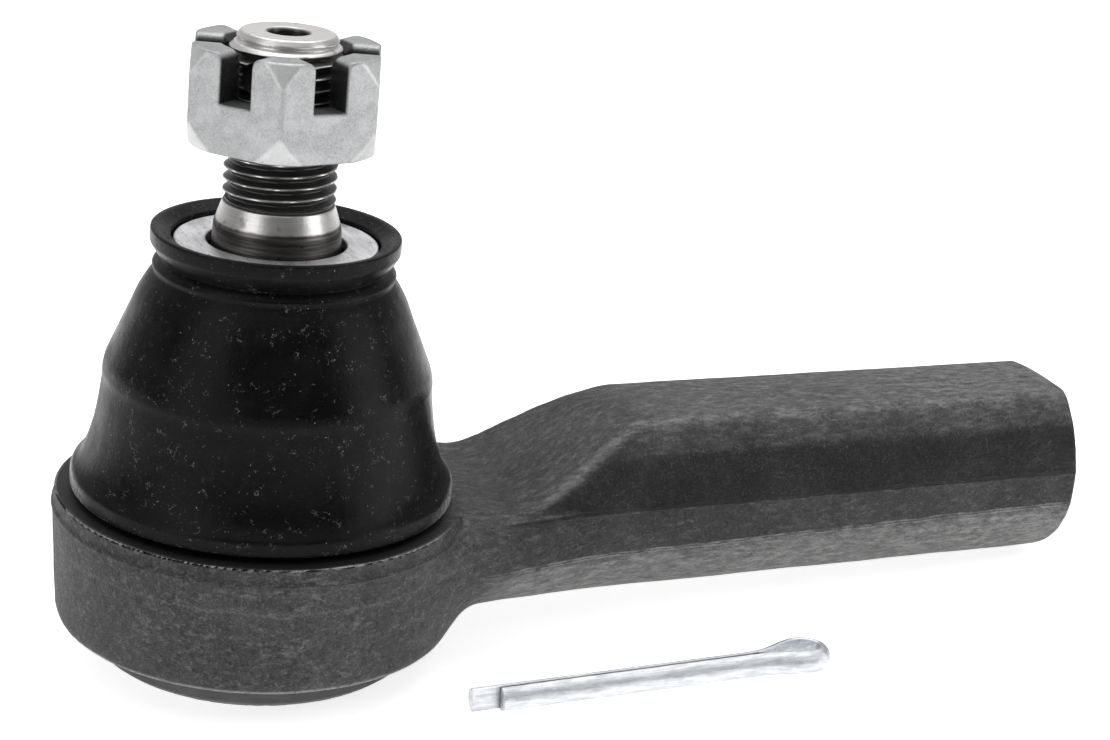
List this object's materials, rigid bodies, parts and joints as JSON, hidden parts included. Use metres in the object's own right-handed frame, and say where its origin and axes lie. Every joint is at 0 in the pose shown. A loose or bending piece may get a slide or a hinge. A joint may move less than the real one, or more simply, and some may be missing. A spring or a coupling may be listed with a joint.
{
  "type": "tie rod end",
  "caption": "Outer tie rod end: forged housing with an internally threaded shank, ball stud, rubber dust boot, slotted nut and loose cotter pin.",
  "frame": {"origin": "centre of the flat on the cover plate, on the stud axis, level with the rolled lip that the housing stands on", "axes": "+Z along the stud axis towards the nut, +X along the shank towards its threaded end"},
  "size_m": [0.1233, 0.0494, 0.0679],
  "materials": {
    "forged_steel": "dark phosphated forging skin",
    "plate_steel": "dull pressed steel",
    "spring_steel": "oiled spring steel",
    "seat_polymer": "natural acetal",
    "boot_rubber": "satin moulded rubber",
    "turned_steel": "bare turned steel",
    "zinc_plate": "satin zinc plate",
    "zinc_wire": "bright zinc plate"
  },
  "bodies": {
    "housing": {"housing": "forged_steel", "cover_plate": "plate_steel", "disc_spring": "spring_steel", "lower_ball_seat": "seat_polymer", "upper_ball_seat": "seat_polymer", "boot_retaining_ring": "spring_steel"},
    "boot": {"dust_boot": "boot_rubber"},
    "washer": {"boot_washer": "plate_steel"},
    "stud": {"ball_stud": "turned_steel"},
    "nut": {"castle_nut": "zinc_plate"},
    "pin": {"cotter_pin": "zinc_wire"}
  },
  "joints": [
    {"name": "boot_swing", "type": "hinge", "parent": "housing", "child": "boot", "pos_m": [0, 0, 0.017], "axis": [0, 0, 1], "continuous": true},
    {"name": "stud_tilt", "type": "hinge", "parent": "boot", "child": "washer", "pos_m": [0, 0, 0.017], "axis": [0, 1, 0], "range_deg": [-20, 20], "deforming": ["dust_boot"]},
    {"name": "stud_spin", "type": "hinge", "parent": "washer", "child": "stud", "pos_m": [0, 0, 0.017], "axis": [0, 0, 1], "continuous": true},
    {"name": "nut_turn", "type": "hinge", "parent": "stud", "child": "nut", "pos_m": [0, 0, 0.0563], "axis": [0, 0, 1], "continuous": true},
    {"name": "pin_lift", "type": "slide", "parent": "housing", "child": "pin", "axis": [0, 0, 1], "range_m": [0, 0.03]}
  ]
}
